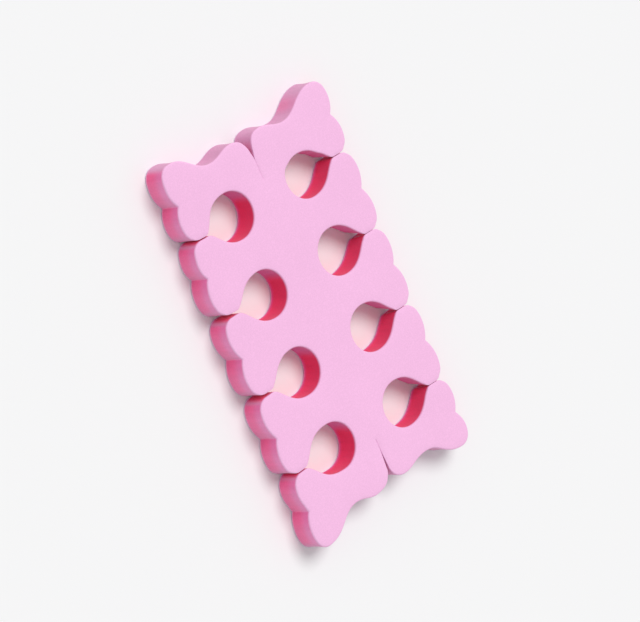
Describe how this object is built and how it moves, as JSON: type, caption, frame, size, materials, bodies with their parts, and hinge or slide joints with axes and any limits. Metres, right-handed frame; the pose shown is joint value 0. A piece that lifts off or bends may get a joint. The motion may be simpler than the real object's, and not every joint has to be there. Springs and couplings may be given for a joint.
{
  "type": "toe separator",
  "caption": "Soft pink foam toe separator: a joined pair of flat combs with lobed fingers and drop-shaped toe holes, cut from one sheet.",
  "frame": {"origin": "centre of the sheet, on its lower face", "axes": "+X along the row of fingers, +Y across from one comb to the other, +Z out of the upper face"},
  "size_m": [0.0964, 0.0528, 0.0073],
  "materials": {
    "pink_foam": "matt, fine-celled soft foam, cut edges a little deeper pink"
  },
  "bodies": {
    "root": {"foam_toe_separator": "pink_foam"}
  },
  "joints": []
}
